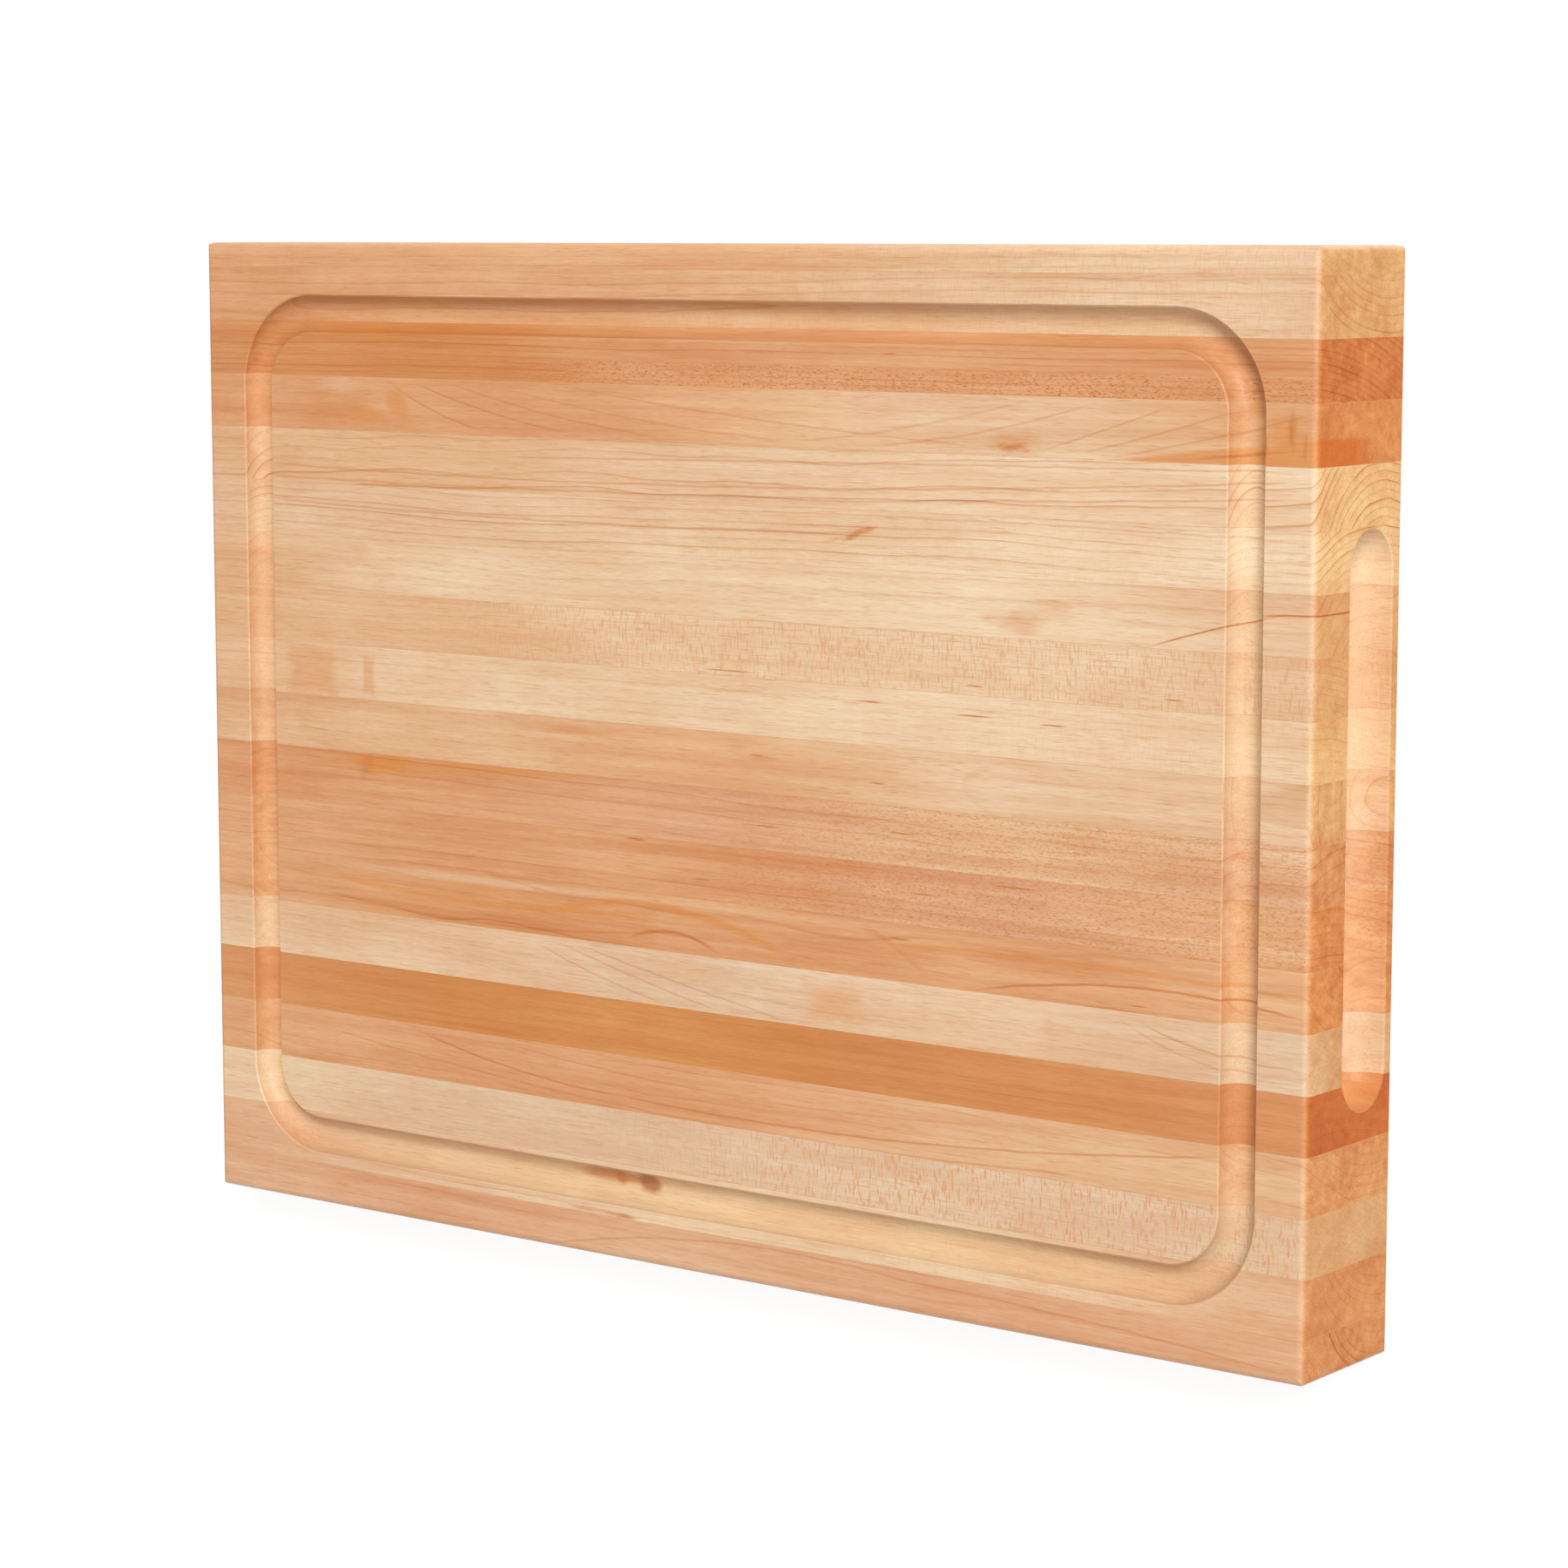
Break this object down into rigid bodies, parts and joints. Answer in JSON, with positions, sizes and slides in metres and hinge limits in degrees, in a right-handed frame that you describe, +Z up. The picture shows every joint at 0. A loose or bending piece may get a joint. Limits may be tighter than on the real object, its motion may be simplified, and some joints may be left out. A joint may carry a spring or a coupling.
{
  "type": "cutting board",
  "caption": "Thick edge-grain maple cutting board with a juice groove round its cutting face and a finger grip in each end.",
  "frame": {"origin": "centre of the underside, on the surface that the board lies on", "axes": "+X along the staves, +Y across them towards the edge with the narrowest stave, +Z up out of the grooved cutting face"},
  "size_m": [0.508, 0.381, 0.0571],
  "materials": {
    "maple_cream": "sanded and oiled",
    "maple_tan": "sanded and oiled",
    "maple_peach": "sanded and oiled",
    "maple_amber": "sanded and oiled",
    "glue": "hardened wood glue"
  },
  "bodies": {
    "root": {"stave_01": "maple_tan", "stave_02": "maple_peach", "stave_03": "maple_amber", "stave_04": "maple_peach", "stave_05": "maple_cream", "stave_06": "maple_cream", "stave_07": "maple_cream", "stave_08": "maple_tan", "stave_09": "maple_cream", "stave_10": "maple_peach", "stave_11": "maple_amber", "stave_12": "maple_peach", "stave_13": "maple_tan", "stave_14": "maple_cream", "stave_15": "maple_amber", "stave_16": "maple_peach", "stave_17": "maple_cream", "stave_18": "maple_tan", "stave_19": "maple_tan", "glue_lines": "glue"}
  },
  "joints": []
}
